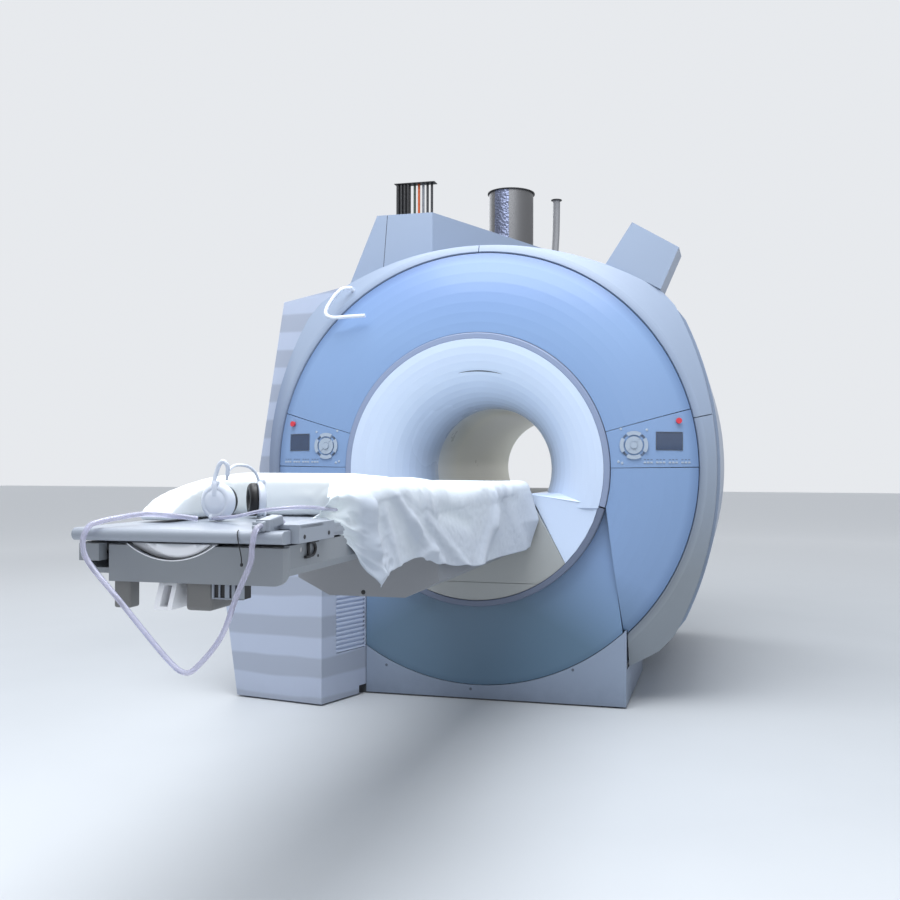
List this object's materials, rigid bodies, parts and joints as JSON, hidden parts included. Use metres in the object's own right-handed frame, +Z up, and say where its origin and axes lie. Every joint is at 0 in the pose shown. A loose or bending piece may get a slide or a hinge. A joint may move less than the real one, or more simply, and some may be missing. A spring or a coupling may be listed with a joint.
{
  "type": "mri scanner",
  "caption": "Hospital MRI scanner: white cylindrical magnet cover with blue domed front, flared bore, patient table on a lift, service turret and floor cabinet.",
  "frame": {"origin": "on the floor straight under the centre of the bore", "axes": "+Z up; +Y along the bore away from the patient table; +X to the right seen from the table"},
  "size_m": [2.352, 4.613, 2.9029],
  "materials": {
    "cover_blue": "satin",
    "cover_white": "satin",
    "funnel_white": "gloss",
    "table_grey": "satin",
    "frame_steel": "matte",
    "vessel_metal": "satin",
    "coil_resin": "matte",
    "foil": "bright",
    "bright_steel": "satin",
    "black_plastic": "matte",
    "black_rubber": "matte",
    "cream_plastic": "matte",
    "display_glass": "gloss",
    "red_plastic": "gloss",
    "pad_vinyl": "satin",
    "linen": "matte",
    "clear_tube": "clear"
  },
  "bodies": {
    "magnet": {"base_frame": "frame_steel", "magnet_vessel": "vessel_metal", "gradient_coil": "coil_resin", "body_coil": "coil_resin", "bore_liner": "funnel_white", "bore_bridge": "table_grey", "funnel": "funnel_white", "funnel_rim": "cover_white", "rear_cover": "cover_white", "barrel_cover": "cover_white", "cover_frame": "frame_steel", "rim_covers_top": "cover_white", "rim_cover_low": "cover_white", "dome_cover_upper": "cover_blue", "dome_covers_low": "cover_blue", "centre_panel": "cover_blue", "plinth_cover": "cover_white", "side_cover_left": "cover_white", "cabinet": "cover_white", "cabinet_grille": "cover_white", "turret_cover": "cover_white", "coldhead_cover": "cover_white", "coil_hook": "bright_steel", "quench_pipe": "foil", "ceiling_plates": "black_plastic", "ceiling_cables": "black_rubber", "water_hose": "black_rubber", "control_panels": "cover_blue", "displays": "display_glass", "lift_rails": "bright_steel"},
    "table_lift": {"lift_carriage": "frame_steel", "apron": "table_grey", "lower_rim": "table_grey", "trunk": "frame_steel", "trough": "table_grey", "table_rollers": "bright_steel", "end_panel": "table_grey", "under_boxes": "cream_plastic", "coil_sockets": "black_plastic"},
    "tabletop_body": {"tabletop": "cover_white", "table_fittings": "table_grey", "mattress": "pad_vinyl", "head_pad": "pad_vinyl", "sheet": "linen", "headset": "cover_white", "ear_pads": "black_rubber", "air_tube": "clear_tube"},
    "latch_body": {"latch": "black_plastic"},
    "dial_right_body": {"dial_right": "cover_white"},
    "dial_left_body": {"dial_left": "cover_white"},
    "stop_button_right_body": {"stop_button_right": "red_plastic"},
    "stop_button_left_body": {"stop_button_left": "red_plastic"},
    "arrow_r_out_body": {"arrow_r_out": "cover_white"},
    "arrow_r_up_body": {"arrow_r_up": "cover_white"},
    "arrow_r_in_body": {"arrow_r_in": "cover_white"},
    "arrow_r_down_body": {"arrow_r_down": "cover_white"},
    "arrow_l_in_body": {"arrow_l_in": "cover_white"},
    "arrow_l_up_body": {"arrow_l_up": "cover_white"},
    "arrow_l_out_body": {"arrow_l_out": "cover_white"},
    "arrow_l_down_body": {"arrow_l_down": "cover_white"}
  },
  "joints": [
    {"name": "table_lift_slide", "type": "slide", "parent": "magnet", "child": "table_lift", "axis": [0, 0, 1], "range_m": [-0.385, 0]},
    {"name": "tabletop_slide", "type": "slide", "parent": "table_lift", "child": "tabletop_body", "axis": [0, 1, 0], "range_m": [0, 1.9], "deforming": ["sheet", "air_tube"]},
    {"name": "latch_pull", "type": "slide", "parent": "table_lift", "child": "latch_body", "axis": [1, 0, 0], "range_m": [0, 0.01], "stiffness_N_per_m": 400, "springref_m": -0.005},
    {"name": "dial_right_turn", "type": "hinge", "parent": "magnet", "child": "dial_right_body", "pos_m": [0.738, -0.99335, 1.185], "axis": [0.1186, -0.9928, 0.0177], "continuous": true},
    {"name": "arrow_r_out_press", "type": "slide", "parent": "magnet", "child": "arrow_r_out_body", "axis": [-0.1186, 0.9928, -0.0177], "range_m": [0, 0.0015], "stiffness_N_per_m": 900, "springref_m": -0.0015},
    {"name": "arrow_r_up_press", "type": "slide", "parent": "magnet", "child": "arrow_r_up_body", "axis": [-0.1186, 0.9928, -0.0177], "range_m": [0, 0.0015], "stiffness_N_per_m": 900, "springref_m": -0.0015},
    {"name": "arrow_r_in_press", "type": "slide", "parent": "magnet", "child": "arrow_r_in_body", "axis": [-0.1186, 0.9928, -0.0177], "range_m": [0, 0.0015], "stiffness_N_per_m": 900, "springref_m": -0.0015},
    {"name": "arrow_r_down_press", "type": "slide", "parent": "magnet", "child": "arrow_r_down_body", "axis": [-0.1186, 0.9928, -0.0177], "range_m": [0, 0.0015], "stiffness_N_per_m": 900, "springref_m": -0.0015},
    {"name": "stop_button_right_press", "type": "slide", "parent": "magnet", "child": "stop_button_right_body", "axis": [-0.3216, 0.9439, -0.0754], "range_m": [0, 0.004], "stiffness_N_per_m": 1500, "springref_m": -0.003},
    {"name": "dial_left_turn", "type": "hinge", "parent": "magnet", "child": "dial_left_body", "pos_m": [-0.738, -0.99335, 1.185], "axis": [-0.1186, -0.9928, 0.0177], "continuous": true},
    {"name": "arrow_l_in_press", "type": "slide", "parent": "magnet", "child": "arrow_l_in_body", "axis": [0.1186, 0.9928, -0.0177], "range_m": [0, 0.0015], "stiffness_N_per_m": 900, "springref_m": -0.0015},
    {"name": "arrow_l_up_press", "type": "slide", "parent": "magnet", "child": "arrow_l_up_body", "axis": [0.1186, 0.9928, -0.0177], "range_m": [0, 0.0015], "stiffness_N_per_m": 900, "springref_m": -0.0015},
    {"name": "arrow_l_out_press", "type": "slide", "parent": "magnet", "child": "arrow_l_out_body", "axis": [0.1186, 0.9928, -0.0177], "range_m": [0, 0.0015], "stiffness_N_per_m": 900, "springref_m": -0.0015},
    {"name": "arrow_l_down_press", "type": "slide", "parent": "magnet", "child": "arrow_l_down_body", "axis": [0.1186, 0.9928, -0.0177], "range_m": [0, 0.0015], "stiffness_N_per_m": 900, "springref_m": -0.0015},
    {"name": "stop_button_left_press", "type": "slide", "parent": "magnet", "child": "stop_button_left_body", "axis": [0.3216, 0.9439, -0.0754], "range_m": [0, 0.004], "stiffness_N_per_m": 1500, "springref_m": -0.003}
  ]
}
